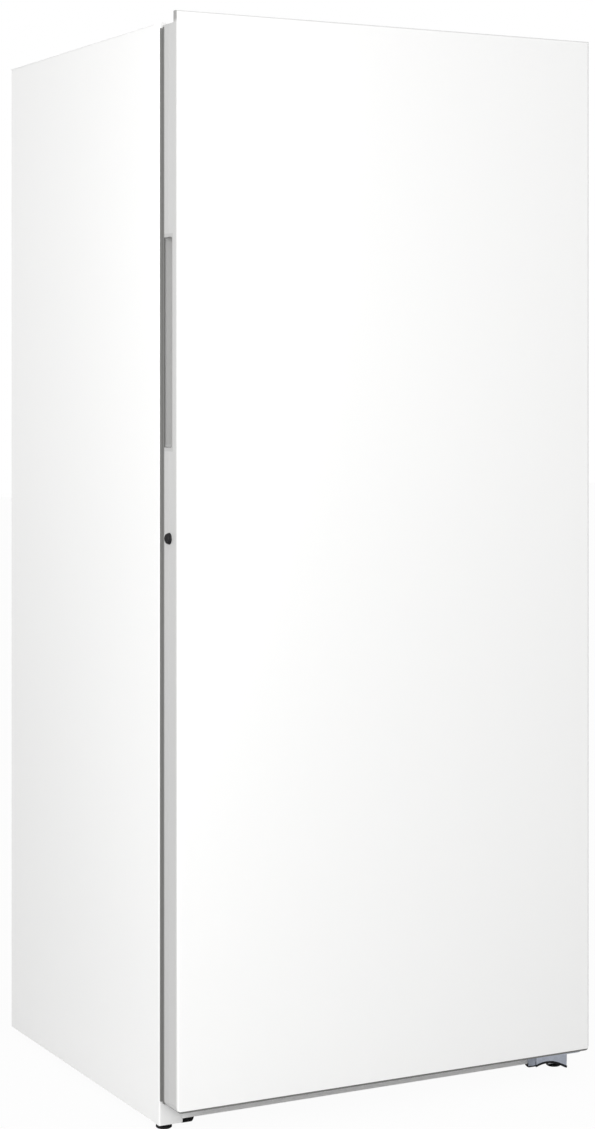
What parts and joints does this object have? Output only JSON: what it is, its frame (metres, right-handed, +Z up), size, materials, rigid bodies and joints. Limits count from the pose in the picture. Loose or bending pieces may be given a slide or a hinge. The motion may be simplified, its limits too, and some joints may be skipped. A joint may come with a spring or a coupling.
{
  "type": "upright freezer",
  "caption": "White upright freezer with one tall right-hinged door, an edge finger pocket, a door lock, glass shelves, door bins and a pull-out basket.",
  "frame": {"origin": "on the floor, under the middle of the whole object", "axes": "+Z up, the door faces -Y, +X to the right of someone who faces the door"},
  "size_m": [0.8445, 0.785, 1.9114],
  "materials": {
    "white_steel": "gloss",
    "galvanised_steel": "satin",
    "zinc_plate": "polished",
    "white_plastic": "satin",
    "liner_plastic": "gloss",
    "foam": "matte",
    "grey_plastic": "satin",
    "gasket_rubber": "matte",
    "black_steel": "satin",
    "black_plastic": "matte",
    "copper": "satin",
    "aluminium": "satin",
    "motor_steel": "satin",
    "shelf_glass": "gloss",
    "lamp_glass": "satin",
    "circuit_board": "satin",
    "white_wire": "satin"
  },
  "bodies": {
    "cabinet": {"base_frame": "galvanised_steel", "basket_rails": "white_plastic", "bottom_hinge": "zinc_plate", "cabinet_insulation": "foam", "casing_screws": "galvanised_steel", "compressor": "black_steel", "compressor_grommets": "gasket_rubber", "compressor_tray": "galvanised_steel", "condenser_coil": "aluminium", "condenser_fan_shroud": "black_plastic", "control_housing": "white_plastic", "cord_gland": "black_plastic", "defrost_heater": "aluminium", "drain_pan": "black_plastic", "evaporator_coil": "aluminium", "evaporator_cover": "white_plastic", "fan_motors": "motor_steel", "filter_drier": "copper", "glass_shelves": "shelf_glass", "inner_liner": "liner_plastic", "kick_plate": "white_steel", "lamp_board": "circuit_board", "lamp_lens": "lamp_glass", "lock_strike": "black_plastic", "lower_front_rail": "white_steel", "machine_bay_lining": "galvanised_steel", "machine_cover": "galvanised_steel", "rear_panel": "white_steel", "refrigerant_tubes": "copper", "relay_cover": "black_plastic", "roller_axles": "galvanised_steel", "roller_brackets": "galvanised_steel", "shelf_trims": "white_plastic", "side_panel_left": "white_steel", "side_panel_right": "white_steel", "top_hinge": "zinc_plate", "top_hinge_cover": "white_plastic", "top_panel": "white_steel"},
    "door": {"door_outer_panel": "white_steel", "door_liner": "liner_plastic", "door_insulation": "foam", "door_top_cap": "grey_plastic", "door_bottom_cap": "grey_plastic", "door_edge_trims": "grey_plastic", "door_gasket": "gasket_rubber", "door_bins": "white_plastic", "handle_insert": "grey_plastic", "hinge_bushes": "white_plastic", "lock_housing": "black_plastic"},
    "lock_plug": {"lock_plug": "motor_steel"},
    "basket": {"basket": "white_wire"},
    "foot_left": {"foot_left": "black_plastic"},
    "foot_right": {"foot_right": "black_plastic"},
    "roller_front_left": {"roller_front_left": "black_plastic"},
    "roller_front_right": {"roller_front_right": "black_plastic"},
    "roller_rear_left": {"roller_rear_left": "black_plastic"},
    "roller_rear_right": {"roller_rear_right": "black_plastic"},
    "condenser_fan_blade": {"condenser_fan_blade": "black_plastic"},
    "evaporator_fan_blade": {"evaporator_fan_blade": "black_plastic"},
    "control_knob": {"control_knob": "grey_plastic"}
  },
  "joints": [
    {"name": "door_swing", "type": "hinge", "parent": "cabinet", "child": "door", "pos_m": [0.402, -0.362, 0.06], "axis": [0, 0, 1], "range_deg": [0, 130]},
    {"name": "lock_turn", "type": "hinge", "parent": "door", "child": "lock_plug", "pos_m": [-0.416, -0.362, 1.018], "axis": [-1, 0, 0], "range_deg": [0, 90]},
    {"name": "basket_slide", "type": "slide", "parent": "cabinet", "child": "basket", "axis": [0, -1, 0], "range_m": [0, 0.19]},
    {"name": "foot_left_height", "type": "slide", "parent": "cabinet", "child": "foot_left", "axis": [0, 0, 1], "range_m": [-0.012, 0.004]},
    {"name": "foot_right_height", "type": "slide", "parent": "cabinet", "child": "foot_right", "axis": [0, 0, 1], "range_m": [-0.012, 0.004]},
    {"name": "condenser_fan_spin", "type": "hinge", "parent": "cabinet", "child": "condenser_fan_blade", "pos_m": [-0.1, 0.275, 0.165], "axis": [1, 0, 0], "continuous": true},
    {"name": "evaporator_fan_spin", "type": "hinge", "parent": "cabinet", "child": "evaporator_fan_blade", "pos_m": [0, 0.282, 1.674], "axis": [0, 1, 0], "continuous": true},
    {"name": "control_knob_turn", "type": "hinge", "parent": "cabinet", "child": "control_knob", "pos_m": [0.06, -0.202, 1.806], "axis": [0, -1, 0], "range_deg": [-135, 135]},
    {"name": "roller_front_left_spin", "type": "hinge", "parent": "cabinet", "child": "roller_front_left", "pos_m": [-0.358, -0.292, 0.021], "axis": [1, 0, 0], "continuous": true},
    {"name": "roller_front_right_spin", "type": "hinge", "parent": "cabinet", "child": "roller_front_right", "pos_m": [0.358, -0.292, 0.021], "axis": [1, 0, 0], "continuous": true},
    {"name": "roller_rear_left_spin", "type": "hinge", "parent": "cabinet", "child": "roller_rear_left", "pos_m": [-0.358, 0.34, 0.02], "axis": [1, 0, 0], "continuous": true},
    {"name": "roller_rear_right_spin", "type": "hinge", "parent": "cabinet", "child": "roller_rear_right", "pos_m": [0.358, 0.34, 0.02], "axis": [1, 0, 0], "continuous": true}
  ],
  "couplings": [
    {"joint": "basket_slide", "follows": "door_swing", "m_per_rad": 0.08}
  ]
}
